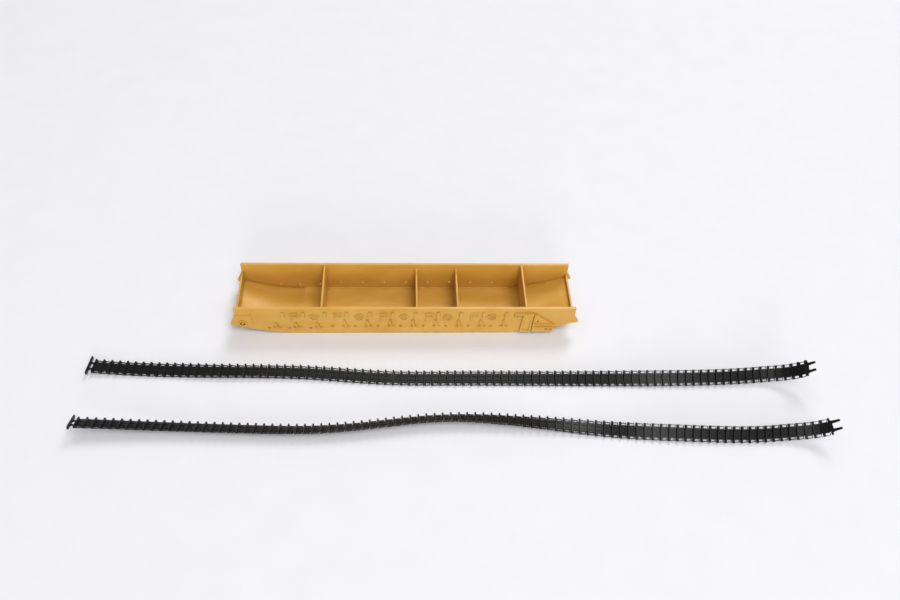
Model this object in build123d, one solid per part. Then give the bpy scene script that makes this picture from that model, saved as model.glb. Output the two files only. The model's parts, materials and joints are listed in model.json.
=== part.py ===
from build123d import *
import math
import os

import numpy as np

# Lower hull tub of a 1:72 scale long tracked carrier, with its two flexible vinyl tracks laid
# out beside it.  Millimetres.  Origin: centre of the hull's flat underside.  +X runs along the
# hull to its final-drive end, +Y across it to the side away from the tracks, +Z up.

# ---- hull: driving dimensions ----
HULL_LENGTH = 153.0      # between the outer faces of the two end plates
HULL_WIDTH = 28.0        # over the side plates
HULL_HEIGHT = 17.0       # underside to the rim of the side plates
WALL = 1.2               # side plate thickness
FLOOR = 1.1              # floor pan thickness
END_WALL = 0.8           # idler-end and drive-end plate thickness
BULKHEAD = 0.8           # bulkhead thickness
EAR = 2.6                # how far the side plates stand out past the end plates
NOTCH_Z = 12.2           # where the side plate's vertical end turns out into the ear
DRIVE_PLATE_TOP = 10.8   # the drive-end plate is lower than the idler-end one
NOSE_RADIUS = 73.0       # the floor curves up at the idler end
NOSE_START = -48.0       # where that curve leaves the flat
TAIL_START = 49.5        # where the floor starts to climb at the drive end
TAIL_BEND = (67.0, 4.5)  # the climb steepens here (x, z of the underside)
TAIL_END_Z = 7.9         # underside of the floor at the outer face of the drive-end plate

BULKHEADS = {"bulkhead_1": (-37.8, HULL_HEIGHT), "bulkhead_2": (4.7, 13.3),
             "bulkhead_3": (23.3, 13.7), "bulkhead_4": (54.0, HULL_HEIGHT)}   # x, top z

# ---- suspension fittings on the outside of the side plates ----
STATIONS = 11
FIRST_ARMS = (-62.0, -53.0, -43.4)   # the first three swing arms are closer together
ARM_START = -33.6                    # fourth arm
ARM_PITCH = 10.28                    # from the fourth arm on
ARM_STAGGER = 2.8                    # the left side's torsion bars lie behind the right side's
ARM_HOLE_R = 0.75
ARM_Z_LOW, ARM_Z = 3.5, 4.9          # the first three holes are lower
LUG_PROUD = 0.75                     # how far the damper lugs and struts stand out
LEDGE_PROUD = 0.45
STOP_PROUD = 0.5                     # how far the roller seats and stop brackets stand out
STOP_TOP = 14.2                      # z of the stop brackets' upper edge
STOP_PAST_ARM = 2.8                  # their x, measured from the arm hole
STOP_WIDTH, STOP_LEG = 3.4, 5.9
ROLLERS = 5
ROLLER_START, ROLLER_PITCH, ROLLER_Z = -41.2, 20.0, 11.3
ROLLER_R = 2.1                       # outer radius of a return roller's seat
LUG_PAST_ARM = 6.8
LUG_TOP, LUG_LOW, LUG_WIDTH = 14.8, 10.5, 1.25
STRUT_WIDTH = 0.85
STRUT = {"lean": 0.8, "top": 9.5, "low": 4.9, "foot": 6.2}         # foot: x past the arm hole
CLOSE_STRUT = {"lean": 0.9, "top": 7.7, "low": 4.2, "foot": 3.8}   # at the first three arms
IDLER = (-73.4, 7.4)                 # x, z of the idler seat
IDLER_R, IDLER_SEAT_R, IDLER_SEAT_DEPTH = 2.0, 1.3, 0.7
IDLER_PAD_END, IDLER_PAD_TOP, IDLER_PAD = -69.2, 13.0, 0.25

# ---- tracks: driving dimensions ----
LINKS = 93
LINKS_PER_RUN = 5
PITCH = 3.42
PLATE = 0.6              # link plate thickness
EDGE, EDGE_AT = 0.4, 2.3 # thickness of its slotted edges, and the y where they start
PLATE_WIDE, PLATE_NARROW = 7.1, 6.7
LINK_GAP = 0.16          # half of the slit between two plates
RIB_WIDTH, RIB_HEIGHT, RIB_FOOT, RIB_TIP = 7.1, 1.35, 0.9, 0.6
SLOT_X, SLOT_Y = 1.7, 0.85
SLOT_AT = (2.15, 2.72)
TONGUE_Y, TONGUE_ROOT, TONGUE_TIP = 1.7, 1.3, 0.9
TONGUE_REACH = 5.0       # from the last link's start to the tongues' tips
WEB = (0.15, 0.45)       # lowest and highest z of the web that joins two plates
WEB_WIDTH = 4.0
HINGE_Z = PLATE / 2

# Each track lies in a gentle curve and curls up at the drive end.  x, y, z of the plate's
# underside, and how far the track is tipped about its own length, the -Y edge raised.
TRACK_A_LIE = [(-136.3, -33.5, 1.2, 6), (-105, -35.3, 0.5, 0), (-75, -36.4, 1.0, 6),
               (-45, -37.0, 0.6, 2), (-10, -39.8, 0.4, -2), (25, -40.5, 0.6, -6),
               (60, -41.0, 0.8, -9), (95, -41.6, 1.5, -20), (120, -42.1, 2.6, -37),
               (142, -41.7, 2.9, -44), (154, -41.1, 3.2, -43), (162, -41.0, 4.0, -40),
               (168.0, -41.9, 6.0, -36), (172.6, -43.2, 9.2, -32), (175.8, -44.7, 13.4, -28)]
TRACK_B_LIE = [(-135.3, -64.9, 4.8, 28), (-100, -65.4, 2.6, 30), (-65, -66.8, 2.2, 31),
               (-35, -67.2, 2.3, 32), (-10, -64.8, 2.4, 34), (15, -62.3, 2.4, 34),
               (45, -63.4, 1.8, 23), (65, -65.2, 1.0, 9), (90, -68.0, 1.0, -14),
               (112, -70.1, 2.4, -37), (138, -71.5, 2.8, -46), (152, -71.4, 2.9, -47),
               (161, -71.0, 3.4, -42), (168, -71.1, 4.4, -36), (173, -71.5, 6.0, -29),
               (177.2, -72.0, 8.6, -22)]


def arm_centres(stagger):
    """x and z of the eleven swing-arm holes."""
    xs = list(FIRST_ARMS)
    xs += [ARM_START + ARM_PITCH * i for i in range(STATIONS - len(FIRST_ARMS))]
    return [(x + stagger, ARM_Z_LOW if i < len(FIRST_ARMS) else ARM_Z) for i, x in enumerate(xs)]


def up_right(points):
    """A face in the XZ plane from (x, z) corners."""
    return make_face(Polyline([(x, 0, z) for x, z in points], close=True))


def slab(face, y_low, y_high):
    """The solid of an XZ face between two y values."""
    return Pos(0, y_low, 0) * extrude(face, amount=y_high - y_low, dir=(0, 1, 0))


def block(x, y, z):
    """A box from its three (low, high) pairs."""
    size = [high - low for low, high in (x, y, z)]
    centre = [(high + low) / 2 for low, high in (x, y, z)]
    return Pos(*centre) * Box(*size)


def pin_y(x, z, radius, y_low, y_high):
    """A cylinder along Y."""
    turned = Rot(90, 0, 0) * Cylinder(radius, y_high - y_low)
    return Pos(x, (y_low + y_high) / 2, z) * turned


def mirrored(shape):
    """The same shape on the other side of the hull."""
    return mirror(shape, about=Plane.XZ)


# ---- hull ----

def nose_point(radius, angle):
    """A point on the nose curve, measured from where it leaves the flat."""
    return (NOSE_START - radius * math.sin(angle), 0, NOSE_RADIUS - radius * math.cos(angle))


def floor_pan():
    end = HULL_LENGTH / 2
    inner = NOSE_RADIUS - FLOOR
    reach = math.asin((end + NOSE_START) / NOSE_RADIUS)
    reach_in = math.asin((end + NOSE_START) / inner)
    under = ThreePointArc(*[nose_point(NOSE_RADIUS, reach * f) for f in (1, 0.5, 0)])
    over = ThreePointArc(*[nose_point(inner, reach_in * f) for f in (0, 0.5, 1)])
    slope = math.atan2(TAIL_BEND[1], TAIL_BEND[0] - TAIL_START)
    lift = FLOOR / math.cos(slope)
    tail_under = Polyline(nose_point(NOSE_RADIUS, 0), (TAIL_START, 0, 0),
                          (TAIL_BEND[0], 0, TAIL_BEND[1]), (end, 0, TAIL_END_Z))
    tail_over = Polyline((end, 0, TAIL_END_Z + lift), (TAIL_BEND[0], 0, TAIL_BEND[1] + lift),
                         (TAIL_START, 0, FLOOR), nose_point(inner, 0))
    nose_end = Line(over @ 1, under @ 0)
    tail_end = Line(tail_under @ 1, tail_over @ 0)
    outline = Wire(under.edges() + tail_under.edges() + tail_end.edges() + tail_over.edges()
                   + over.edges() + nose_end.edges())
    half = HULL_WIDTH / 2 - WALL
    return slab(Face(outline), -half, half)


def side_outline():
    """Outline of a side plate: a straight rim, an ear at each end, and a curved nose."""
    end = HULL_LENGTH / 2
    reach = math.asin((end + NOSE_START - 1.0) / NOSE_RADIUS)
    curve = ThreePointArc(*[nose_point(NOSE_RADIUS, reach * f) for f in (0, 0.5, 1)])
    ear = Polyline(curve @ 1, (-end - EAR + 0.5, 0, 5.5), (-end - EAR, 0, 6.3),
                   (-end, 0, NOTCH_Z), (-end, 0, HULL_HEIGHT), (end, 0, HULL_HEIGHT),
                   (end, 0, NOTCH_Z - 0.4), (end + EAR - 0.5, 0, 8.3), (end + EAR - 0.7, 0, 7.4),
                   (end - 0.5, 0, 7.0), (68.5, 0, 4.2), (67.3, 0, 2.7), (64.7, 0, 1.4),
                   (52.4, 0, 1.4), (TAIL_START, 0, 0), curve @ 0)
    return Face(Wire(curve.edges() + ear.edges()))


def right_side_plate(stagger):
    outer = -HULL_WIDTH / 2
    plate = slab(side_outline(), outer, outer + WALL)
    pad = up_right([(-HULL_LENGTH / 2, NOTCH_Z), (-HULL_LENGTH / 2, 6.2), (IDLER_PAD_END, 5.0),
                    (IDLER_PAD_END, IDLER_PAD_TOP)])
    plate += slab(pad, outer - IDLER_PAD, outer + WALL / 2)
    for x, z in arm_centres(stagger):
        plate -= pin_y(x, z, ARM_HOLE_R, outer - 1, outer + WALL + 1)
    plate -= pin_y(*IDLER, IDLER_SEAT_R, outer - 1, outer + IDLER_SEAT_DEPTH)
    return plate


def end_plate(x_low, top, floor):
    half = HULL_WIDTH / 2 - WALL
    plate = block((x_low, x_low + END_WALL), (-half, half), (0, top)) - floor
    return plate.solids().sort_by(Axis.Z)[-1]


def bulkhead(x, top, floor):
    half = HULL_WIDTH / 2 - WALL
    wall = block((x - BULKHEAD / 2, x + BULKHEAD / 2), (-half, half), (0, top)) - floor
    wall = wall.solids().sort_by(Axis.Z)[-1]
    if top < HULL_HEIGHT:
        # a low bulkhead has a small gusset against each side plate
        for side in (-1, 1):
            gusset = Polyline((x, side * half, top), (x, side * half, top + 1.6),
                              (x, side * (half - 1.6), top), close=True)
            wall += extrude(make_face(gusset), amount=BULKHEAD / 2, dir=(1, 0, 0), both=True)
    return wall


def right_idler_boss():
    face = -HULL_WIDTH / 2 - IDLER_PAD
    ring = pin_y(*IDLER, IDLER_R, face - 0.5, face) - pin_y(*IDLER, IDLER_SEAT_R, face - 1, face + 1)
    seat = -HULL_WIDTH / 2 + IDLER_SEAT_DEPTH
    stub = pin_y(*IDLER, 0.5, face - 0.3, seat)
    return Compound(children=[ring.solid(), stub.solid()])


def capsule(x_top, z_top, x_low, z_low, width, proud):
    """A round-ended lug on the outer face of the right side plate."""
    face = -HULL_WIDTH / 2
    axis = Vector(x_low - x_top, 0, z_low - z_top)
    tilt = math.degrees(math.atan2(axis.X, -axis.Z))
    lug = extrude(SlotCenterToCenter(axis.length - width, width, rotation=90), amount=proud)
    lug = Pos((x_top + x_low) / 2, face, (z_top + z_low) / 2) * Rot(0, -tilt, 0) * Rot(90, 0, 0) * lug
    return lug


def right_damper_mounts(stagger):
    """Per station: an upper lug, a lower strut with its foot, and a ledge under them."""
    face = -HULL_WIDTH / 2
    lugs = []
    for i, (x, z) in enumerate(arm_centres(stagger)):
        strut_at = CLOSE_STRUT if i < len(FIRST_ARMS) else STRUT
        lug_x, foot = x + LUG_PAST_ARM, x + strut_at["foot"]
        upper = capsule(lug_x, LUG_TOP, lug_x, LUG_LOW, LUG_WIDTH, LUG_PROUD)
        strut = capsule(foot + 0.1 - strut_at["lean"], strut_at["top"], foot + 0.1, strut_at["low"],
                        STRUT_WIDTH, LUG_PROUD)
        ledge_z = strut_at["low"] - 0.1
        ledge = block((foot - 1.9, foot + 1.9), (face - LEDGE_PROUD, face), (ledge_z, ledge_z + 0.35))
        lugs += [upper.solid(), (strut + ledge).solid()]
    return Compound(children=lugs)


def roller_seat(x):
    """Round stepped seat of a return roller: an outer ring, a groove and an inner ring."""
    face = -HULL_WIDTH / 2
    seat = pin_y(x, ROLLER_Z, ROLLER_R, face - STOP_PROUD, face)
    seat -= pin_y(x, ROLLER_Z, ROLLER_R - 0.5, face - STOP_PROUD - 1, face - 0.1)
    seat += pin_y(x, ROLLER_Z, 1.1, face - STOP_PROUD, face)
    return seat - pin_y(x, ROLLER_Z, 0.55, face - STOP_PROUD - 1, face - 0.1)


def stop_bracket(x):
    """A flanged, box-shaped stop, open below, with one longer leg."""
    face = -HULL_WIDTH / 2
    low, high = x - STOP_WIDTH / 2, x + STOP_WIDTH / 2
    body = block((low, high), (face - STOP_PROUD, face), (STOP_TOP - 3.4, STOP_TOP))
    body -= block((low + 0.4, high - 0.4), (face - 2, face + 1), (STOP_TOP - 4, STOP_TOP - 0.4))
    body += block((low, low + 0.4), (face - STOP_PROUD, face), (STOP_TOP - STOP_LEG, STOP_TOP))
    return body + block((low, high), (face - 0.3, face), (STOP_TOP - 2.5, STOP_TOP - 2.1))


def right_arm_stops(stagger):
    """Behind every second arm a stop bracket, and return roller seats at their own pitch."""
    stops = [stop_bracket(x + STOP_PAST_ARM) for x, z in arm_centres(stagger)[1::2]]
    seats = [roller_seat(ROLLER_START + i * ROLLER_PITCH + stagger) for i in range(ROLLERS)]
    return Compound(children=[piece.solid() for piece in stops + seats])


def right_final_drive():
    """Housing of the final drive: a ribbed panel and a gusset with two ledges."""
    face = -HULL_WIDTH / 2
    panel = slab(up_right([(53.0, 13.8), (57.5, 13.8), (57.0, 1.4), (51.9, 1.4)]), face - 0.9, face)
    panel -= slab(up_right([(53.6, 10.6), (56.4, 10.6), (56.1, 2.6), (52.9, 2.6)]), face - 2, face - 0.55)
    panel += block((49.0, 57.7), (face - 1.2, face), (13.7, 14.3))
    for x in (49.0, 50.5):
        panel += block((x, x + 0.45), (face - 0.9, face), (11.4, 14.0))
    gusset = slab(up_right([(58.1, 13.6), (59.2, 13.2), (67.9, 6.2), (67.9, 3.6), (67.0, 1.4),
                            (57.6, 1.4), (57.8, 8.0)]), face - 0.8, face)
    gusset += slab(up_right([(58.6, 7.6), (66.2, 7.6), (66.8, 7.1), (58.6, 7.1)]), face - 1.3, face)
    gusset += slab(up_right([(58.6, 5.5), (67.4, 5.5), (67.6, 5.0), (58.6, 5.0)]), face - 1.3, face)
    gusset -= pin_y(59.9, 9.0, 0.5, face - 2, face + 1)
    for x in (64.3, 66.3):
        gusset -= pin_y(x, 3.3, 0.6, face - 2, face + 1)
    return Compound(children=[panel.solid(), gusset.solid()])


# ---- tracks ----

def track_frames(lie):
    """The plane of every link: origin at the start of its underside, X along the track, and
    Z out of the ribbed face."""
    path = Spline(*[station[:3] for station in lie])
    frames = []
    for i in range(LINKS):
        start = path.position_at(i * PITCH, position_mode=PositionMode.LENGTH)
        end = path.position_at((i + 1) * PITCH, position_mode=PositionMode.LENGTH)
        along = (end - start).normalized()
        level = Vector(0, 0, 1).cross(along).normalized()
        tip = math.radians(np.interp(start.X, [s[0] for s in lie], [s[3] for s in lie]))
        out = along.cross(level) * math.cos(tip) + level * math.sin(tip)
        frames.append(Plane(origin=start, x_dir=along, z_dir=out))
    return frames


def rib():
    """The tall rib at a link's start, thinner towards its tip."""
    start, half = LINK_GAP, RIB_WIDTH / 2
    taper = (RIB_FOOT - RIB_TIP) / 2
    profile = Polyline((start, half, 0), (start + RIB_FOOT, half, 0),
                       (start + RIB_FOOT, half, PLATE), (start + RIB_FOOT - taper, half, RIB_HEIGHT),
                       (start + taper, half, RIB_HEIGHT), (start, half, PLATE), close=True)
    return extrude(make_face(profile), amount=RIB_WIDTH, dir=(0, -1, 0))


def track_link():
    """One link: a tapered plate with thin slotted edges, a tall rib at its start, low rails."""
    start, end = LINK_GAP, PITCH - LINK_GAP
    plan = Polyline((start, PLATE_WIDE / 2), (end, PLATE_NARROW / 2), (end, -PLATE_NARROW / 2),
                    (start, -PLATE_WIDE / 2), close=True)
    link = extrude(make_face(plan), amount=PLATE)
    for side in (-1, 1):
        link -= block((0, PITCH), sorted((side * EDGE_AT, side * PLATE_WIDE)), (EDGE, 2 * PLATE))
        link -= Pos(SLOT_AT[0], side * SLOT_AT[1], PLATE / 2) * Box(SLOT_X, SLOT_Y, 2 * PLATE)
        link += block((0.6, 2.9), (side * 0.95 - 0.2, side * 0.95 + 0.2), (PLATE / 2, PLATE + 0.2))
    link += block((end - 0.4, end), (-2.2, 2.2), (PLATE / 2, PLATE + 0.2))
    return link + rib()


def last_link():
    """The track ends in a rib with two tapered tongues, which the other end's tabs take."""
    link = rib() + block((LINK_GAP, 1.6), (-2.5, 2.5), (0, PLATE))
    for y in (-TONGUE_Y, TONGUE_Y):
        root, tip = TONGUE_ROOT / 2, TONGUE_TIP / 2
        plan = Polyline((1, y - root), (TONGUE_REACH, y - tip), (TONGUE_REACH, y + tip),
                        (1, y + root), close=True)
        link += Pos(0, 0, 0.05) * extrude(make_face(plan), amount=PLATE - 0.1)
    return link


def end_bar():
    """The bar ahead of the first link, held by two small tabs."""
    bar = block((-1.85, -1.15), (-4.7, 4.7), (0, 1.5))
    for side in (-1, 1):
        bar += block((-1.4, LINK_GAP + 0.2), (side * 1.65 - 0.4, side * 1.65 + 0.4), (0.1, 0.6))
    return bar


def track_run(frames, first):
    """Up to LINKS_PER_RUN links as one solid, joined by thin webs."""
    web = block((PITCH - LINK_GAP - 0.25, PITCH + LINK_GAP + 0.25), (-WEB_WIDTH / 2, WEB_WIDTH / 2), WEB)
    last = min(first + LINKS_PER_RUN, LINKS) - 1
    run = None
    for i in range(first, last + 1):
        link = last_link() if i == LINKS - 1 else track_link()
        if i == 0:
            link += end_bar()
        if i < last:
            link += web
        placed = frames[i].location * link
        run = placed if run is None else run + placed
    return run


def write(name, shape):
    shape.label = name
    export_step(shape, f"parts/{name}.step")


def main():
    os.makedirs("parts", exist_ok=True)
    floor = floor_pan()
    write("floor_pan", floor)
    write("idler_end_plate", end_plate(-HULL_LENGTH / 2, NOTCH_Z, floor))
    write("drive_end_plate", end_plate(HULL_LENGTH / 2 - END_WALL, DRIVE_PLATE_TOP, floor))
    for name, (x, top) in BULKHEADS.items():
        write(name, bulkhead(x, top, floor))
    fittings = {"side_plate": right_side_plate, "damper_mounts": right_damper_mounts,
                "arm_stops": right_arm_stops}
    for name, maker in fittings.items():
        write(f"right_{name}", maker(0))
        write(f"left_{name}", mirrored(maker(ARM_STAGGER)))
    for name, maker in {"idler_boss": right_idler_boss, "final_drive": right_final_drive}.items():
        write(f"right_{name}", maker())
        write(f"left_{name}", mirrored(maker()))
    for track, lie in {"track_a": TRACK_A_LIE, "track_b": TRACK_B_LIE}.items():
        frames = track_frames(lie)
        for run, first in enumerate(range(0, LINKS, LINKS_PER_RUN), start=1):
            write(f"{track}_run_{run:02d}", track_run(frames, first))


main()
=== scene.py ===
"""Looks for the lower hull tub of a tracked scale model and its two flexible tracks.

Metres, in the CAD frame: +X along the hull, +Y away from the tracks, +Z up, floor at z = 0.
"""
import json
import math

import bmesh
import bpy
from mathutils import Matrix, Vector

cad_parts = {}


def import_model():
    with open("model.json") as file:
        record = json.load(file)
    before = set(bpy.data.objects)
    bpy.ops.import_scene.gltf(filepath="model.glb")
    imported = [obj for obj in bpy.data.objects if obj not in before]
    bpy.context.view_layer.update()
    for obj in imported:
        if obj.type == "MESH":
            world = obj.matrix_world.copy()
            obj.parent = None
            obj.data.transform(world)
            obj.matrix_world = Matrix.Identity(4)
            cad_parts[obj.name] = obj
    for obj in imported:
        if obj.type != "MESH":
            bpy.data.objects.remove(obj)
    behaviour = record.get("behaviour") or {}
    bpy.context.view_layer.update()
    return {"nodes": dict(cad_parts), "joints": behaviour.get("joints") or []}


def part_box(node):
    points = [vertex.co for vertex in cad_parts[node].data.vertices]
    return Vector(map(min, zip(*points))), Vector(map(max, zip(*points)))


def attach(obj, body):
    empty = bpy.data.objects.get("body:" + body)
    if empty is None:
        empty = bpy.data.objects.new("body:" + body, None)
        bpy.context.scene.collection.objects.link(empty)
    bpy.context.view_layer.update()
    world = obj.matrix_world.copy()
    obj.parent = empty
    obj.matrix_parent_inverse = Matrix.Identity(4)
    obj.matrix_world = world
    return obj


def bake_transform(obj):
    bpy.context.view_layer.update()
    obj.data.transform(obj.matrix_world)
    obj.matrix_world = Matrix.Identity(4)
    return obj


MM = 0.001

# camera: where it stands, and how it is turned (degrees)
CAMERA_AT = (-2.3 * MM, -256.3 * MM, 305.2 * MM)
CAMERA_DOWN, CAMERA_YAW, CAMERA_ROLL = 49.23, -5.05, 3.84
CAMERA_LENS, CAMERA_SENSOR = 33.76, 36      # mm
CAMERA_CLIP = 0.01

TAN = (0.62, 0.333, 0.051, 1)               # styrene, main colour
TAN_PALE = (0.68, 0.392, 0.08, 1)           # where the flow of the plastic left it a little paler
TAN_PAINTED_SHADE = (0.17, 0.065, 0.004, 1)          # painted shade, mixed in towards corners
PAINTED_SHADE_REACH = 2.6 * MM                     # how far from a corner the painted shade reaches
VINYL = (0.002, 0.002, 0.0016, 1)
VINYL_DUSTY = (0.005, 0.0052, 0.0042, 1)
PAPER = (0.775, 0.77, 0.795, 1)
PAPER_PALE = (0.79, 0.785, 0.81, 1)

HULL_EDGE, TRACK_EDGE = 0.12 * MM, 0.05 * MM   # widths of the softened outer edges
EDGE_ANGLE = math.radians(32)               # edges sharper than this are softened
WELD = 0.002 * MM

FILLET = 0.45 * MM                          # radius of the moulding's inner corners
FILLET_STEPS = 6
SUNK = 0.06 * MM                            # how far a fillet's hidden corner lies in the plates
FLAT_START, FLAT_END = -48 * MM, 49.5 * MM  # the floor is flat between these x

# half the length, width and thickness of the web between two runs
WEB_REACH, WEB_HALF, WEB_THICK = 0.36 * MM, 2.0 * MM, 0.14 * MM
WEB_STEPS = 6

PAPER_HALF = 4.0                            # half the side of the paper underneath
PAPER_DROP = 0.03 * MM                      # how far it lies below z = 0
SKY, SKY_STRENGTH = (0.97, 0.98, 1.0, 1), 0.34

# round area lamps: name, place, aim, diameter, watts
LAMPS = (("overhead", (0.45, -1.05, 2.1), (0, -0.03, 0), 1.4, 29),
         ("behind", (0.65, 1.45, 1.95), (0, 0.1, 0), 1.2, 28),
         ("front", (0.1, -2.0, 0.52), (0, -0.03, 0), 0.8, 15))


# ---- materials ----

def new_material(name):
    material = bpy.data.materials.new(name)
    material.use_nodes = True
    nodes = material.node_tree.nodes
    return material, nodes, material.node_tree.links, nodes["Principled BSDF"]


def noise(nodes, links, scale, detail=4.0, roughness=0.5, stretch=None):
    """Noise over the object's own coordinates, in metres."""
    place = nodes.new("ShaderNodeTexCoord")
    texture = nodes.new("ShaderNodeTexNoise")
    texture.inputs["Scale"].default_value = scale
    texture.inputs["Detail"].default_value = detail
    texture.inputs["Roughness"].default_value = roughness
    vector = place.outputs["Object"]
    if stretch:
        mapping = nodes.new("ShaderNodeMapping")
        mapping.inputs["Scale"].default_value = stretch
        links.new(vector, mapping.inputs["Vector"])
        vector = mapping.outputs["Vector"]
    links.new(vector, texture.inputs["Vector"])
    return texture.outputs["Fac"]


def ramp(nodes, links, value, low, high, start=0.35, end=0.65):
    """A colour or grey that goes from low to high as value goes from start to end."""
    node = nodes.new("ShaderNodeValToRGB")
    for element, position, shade in zip(node.color_ramp.elements, (start, end), (low, high)):
        element.position = position
        element.color = shade if hasattr(shade, "__len__") else (shade, shade, shade, 1)
    links.new(value, node.inputs["Fac"])
    return node.outputs["Color"]


def mix(nodes, links, factor, first, second):
    """Two colours mixed; each argument is a socket or a constant."""
    node = nodes.new("ShaderNodeMix")
    node.data_type = "RGBA"
    for socket, value in ((node.inputs["Factor"], factor), (node.inputs["A"], first),
                          (node.inputs["B"], second)):
        if hasattr(value, "is_linked"):
            links.new(value, socket)
        else:
            socket.default_value = value
    return node.outputs["Result"]


def bump(nodes, links, height, distance, strength, below=None):
    """A normal bent by height, on top of the normal below."""
    node = nodes.new("ShaderNodeBump")
    node.inputs["Distance"].default_value = distance
    node.inputs["Strength"].default_value = strength
    links.new(height, node.inputs["Height"])
    if below is not None:
        links.new(below, node.inputs["Normal"])
    return node.outputs["Normal"]


def crevice(nodes, reach):
    """1 in the open, towards 0 in corners nearer than reach."""
    node = nodes.new("ShaderNodeAmbientOcclusion")
    node.inputs["Distance"].default_value = reach
    node.samples = 8
    return node.outputs["AO"]


def styrene():
    """Injection-moulded tan styrene: satin, with flow marks, fine grain and soft corners, and
    painted shade darkening it towards corners.
    """
    material, nodes, links, shader = new_material("styrene_tan")
    flow = noise(nodes, links, 55, 3, 0.55, (1, 2.5, 2.5))
    colour = ramp(nodes, links, flow, TAN, TAN_PALE)
    # painted shade: the styrene is darkened towards corners by ambient occlusion
    painted_shade = ramp(nodes, links, crevice(nodes, PAINTED_SHADE_REACH), 0.4, 0.0, 0.3, 0.8)
    links.new(mix(nodes, links, painted_shade, colour, TAN_PAINTED_SHADE), shader.inputs["Base Color"])
    grain = noise(nodes, links, 900, 5, 0.6)
    links.new(ramp(nodes, links, grain, 0.36, 0.5), shader.inputs["Roughness"])
    fine = bump(nodes, links, noise(nodes, links, 4200, 3, 0.6), 0.012 * MM, 0.5)
    waves = bump(nodes, links, noise(nodes, links, 160, 2, 0.5), 0.05 * MM, 0.35, fine)
    links.new(waves, shader.inputs["Normal"])
    shader.inputs["IOR"].default_value = 1.52
    shader.inputs["Subsurface Weight"].default_value = 0.12
    shader.inputs["Subsurface Radius"].default_value = (1.0, 0.55, 0.2)
    shader.inputs["Subsurface Scale"].default_value = 0.9 * MM
    shader.inputs["Specular IOR Level"].default_value = 0.32
    shader.inputs["Coat Weight"].default_value = 0.04
    shader.inputs["Coat Roughness"].default_value = 0.22
    return material


def vinyl():
    """Soft black vinyl: dark, with a faint sheen and a trace of moulding dust."""
    material, nodes, links, shader = new_material("vinyl_black")
    patches = noise(nodes, links, 320, 4, 0.6)
    colour = ramp(nodes, links, patches, VINYL, VINYL_DUSTY, 0.4, 0.75)
    links.new(colour, shader.inputs["Base Color"])
    grain = noise(nodes, links, 1500, 4, 0.6)
    links.new(ramp(nodes, links, grain, 0.34, 0.48), shader.inputs["Roughness"])
    fine = bump(nodes, links, noise(nodes, links, 5200, 3, 0.6), 0.02 * MM, 0.6)
    links.new(fine, shader.inputs["Normal"])
    shader.inputs["IOR"].default_value = 1.5
    shader.inputs["Specular IOR Level"].default_value = 0.28
    shader.inputs["Sheen Weight"].default_value = 0.01
    shader.inputs["Sheen Roughness"].default_value = 0.5
    return material


def backdrop_paper():
    material, nodes, links, shader = new_material("backdrop_paper")
    fibres = noise(nodes, links, 60, 5, 0.55)
    links.new(ramp(nodes, links, fibres, PAPER, PAPER_PALE), shader.inputs["Base Color"])
    shader.inputs["Roughness"].default_value = 0.9
    shader.inputs["Specular IOR Level"].default_value = 0.2
    return material


# ---- CAD nodes ----

def soften(node, width):
    """Round a CAD node's edges with modifiers, without touching its mesh."""
    weld = node.modifiers.new("weld", "WELD")
    weld.merge_threshold = WELD
    edge = node.modifiers.new("edge", "BEVEL")
    edge.width = width
    edge.segments = 2
    edge.limit_method = "ANGLE"
    edge.angle_limit = EDGE_ANGLE
    edge.use_clamp_overlap = True
    edge.harden_normals = True


def dress(frame):
    tan, black = styrene(), vinyl()
    for name, node in frame["nodes"].items():
        is_track = name.startswith("track_")
        node.data.materials.clear()
        node.data.materials.append(black if is_track else tan)
        soften(node, TRACK_EDGE if is_track else HULL_EDGE)
    fillets(tan)
    webs(frame, black)


def new_piece(name, shape, material):
    """An object from a finished shape, which is used up."""
    bmesh.ops.recalc_face_normals(shape, faces=shape.faces)
    mesh = bpy.data.meshes.new(name)
    shape.to_mesh(mesh)
    shape.free()
    mesh.materials.append(material)
    piece = bpy.data.objects.new(name, mesh)
    bpy.context.scene.collection.objects.link(piece)
    return piece


def tube(shape, rings):
    """Faces between neighbouring rings of corners, and over both ends."""
    for first, second in zip(rings, rings[1:]):
        for i in range(len(first)):
            after = (i + 1) % len(first)
            shape.faces.new((first[i], first[after], second[after], second[i]))
    shape.faces.new(rings[0])
    shape.faces.new(rings[-1])


def fillet(shape, start, end, first, second):
    """A concave quarter-round strip from start to end, between the faces that the unit
    vectors first and second run along."""
    start, end, first, second = (Vector(v) for v in (start, end, first, second))
    profile = [-SUNK * (first + second), FILLET * first - SUNK * second]
    for i in range(FILLET_STEPS + 1):
        angle = math.radians(90 * i / FILLET_STEPS)
        profile.append(FILLET * ((1 - math.sin(angle)) * first + (1 - math.cos(angle)) * second))
    profile.append(FILLET * second - SUNK * first)
    tube(shape, [[shape.verts.new(at + p) for p in profile] for at in (start, end)])


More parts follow.
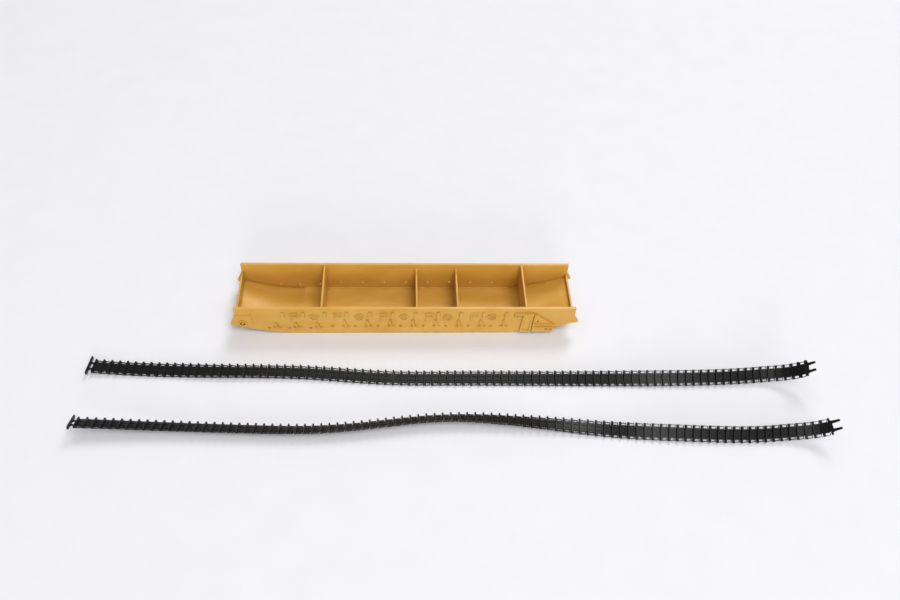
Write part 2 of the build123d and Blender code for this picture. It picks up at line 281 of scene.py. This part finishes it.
def fillets(material):
    """The rounded inner corners of the tub: beside the flat floor between the bulkheads, up
    both ends of every bulkhead, and along the foot of the three that stand on the flat."""
    shape = bmesh.new()
    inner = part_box("floor_pan")[1][1]
    walls = [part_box(f"bulkhead_{i}") for i in (1, 2, 3, 4)]
    low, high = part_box("floor_pan")[0][2], walls[1][0][2]
    starts = [FLAT_START] + [box[1][0] for box in walls[:3]]
    ends = [min(box[0][0], FLAT_END) for box in walls]
    for y, inward in ((-inner, 1), (inner, -1)):
        for start, end in zip(starts, ends):
            fillet(shape, (start, y, high), (end, y, high), (0, inward, 0), (0, 0, 1))
        for box in walls:
            foot = max(box[0][2], low)
            for x, outward in ((box[0][0], -1), (box[1][0], 1)):
                fillet(shape, (x, y, foot), (x, y, box[1][2]), (outward, 0, 0), (0, inward, 0))
    for box in walls[:3]:
        for x, outward in ((box[0][0], -1), (box[1][0], 1)):
            fillet(shape, (x, -inner, high), (x, inner, high), (outward, 0, 0), (0, 0, 1))
    piece = new_piece("inner_fillets", shape, material)
    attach(piece, "hull")


def webs(frame, material):
    """The thin vinyl web at every border between two runs of links."""
    for track in ("track_a", "track_b"):
        hinges = sorted((joint for joint in frame["joints"]
                         if joint["name"].startswith(f"{track}_flex")),
                        key=lambda joint: joint["name"])
        places = [Vector(joint["pos_m"]) for joint in hinges]
        for i, joint in enumerate(hinges):
            across = Vector(joint["axis"]).normalized()
            along = (places[min(i + 1, len(places) - 1)] - places[max(i - 1, 0)]).normalized()
            over = along.cross(across).normalized()
            shape = bmesh.new()
            rings = []
            for step in range(WEB_STEPS + 1):
                reach = WEB_REACH * (2 * step / WEB_STEPS - 1)
                rings.append([shape.verts.new(places[i] + along * reach + across * y + over * z)
                              for y, z in ((-WEB_HALF, -WEB_THICK), (WEB_HALF, -WEB_THICK),
                                           (WEB_HALF, WEB_THICK), (-WEB_HALF, WEB_THICK))])
            tube(shape, rings)
            piece = new_piece(f"{track}_web_{i + 1:02d}", shape, material)
            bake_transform(piece)


# ---- stage ----

def camera():
    down, yaw, roll = (math.radians(a) for a in (CAMERA_DOWN, CAMERA_YAW, CAMERA_ROLL))
    ahead = Vector((-math.sin(yaw) * math.cos(down), math.cos(yaw) * math.cos(down),
                    -math.sin(down)))
    level = Vector((math.cos(yaw), math.sin(yaw), 0))
    over = level.cross(ahead)
    right = level * math.cos(roll) + over * math.sin(roll)
    up = over * math.cos(roll) - level * math.sin(roll)
    data = bpy.data.cameras.new("camera")
    data.sensor_width = CAMERA_SENSOR
    data.lens = CAMERA_LENS
    data.clip_start = CAMERA_CLIP
    eye = bpy.data.objects.new("camera", data)
    bpy.context.scene.collection.objects.link(eye)
    turn = Matrix((right, up, -ahead)).transposed().to_4x4()
    eye.matrix_world = Matrix.Translation(CAMERA_AT) @ turn
    bpy.context.scene.camera = eye


def soft_light(name, at, aim, size, power):
    data = bpy.data.lights.new(name, "AREA")
    data.shape = "DISK"
    data.size = size
    data.energy = power
    lamp = bpy.data.objects.new(name, data)
    bpy.context.scene.collection.objects.link(lamp)
    lamp.location = at
    lamp.rotation_euler = (Vector(aim) - Vector(at)).to_track_quat("-Z", "Y").to_euler()


def studio():
    mesh = bpy.data.meshes.new("floor")
    corners = [(x * PAPER_HALF, y * PAPER_HALF, 0) for x, y in ((-1, -1), (1, -1), (1, 1), (-1, 1))]
    mesh.from_pydata(corners, [], [(0, 1, 2, 3)])
    floor = bpy.data.objects.new("floor", mesh)
    floor.location.z = -PAPER_DROP
    bpy.context.scene.collection.objects.link(floor)
    mesh.materials.append(backdrop_paper())
    world = bpy.data.worlds.new("studio")
    bpy.context.scene.world = world
    world.use_nodes = True
    background = world.node_tree.nodes["Background"]
    background.inputs["Color"].default_value = SKY
    background.inputs["Strength"].default_value = SKY_STRENGTH
    for lamp in LAMPS:
        soft_light(*lamp)
    bpy.context.scene.view_settings.view_transform = "Standard"


def main():
    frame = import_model()
    camera()
    dress(frame)
    studio()


main()
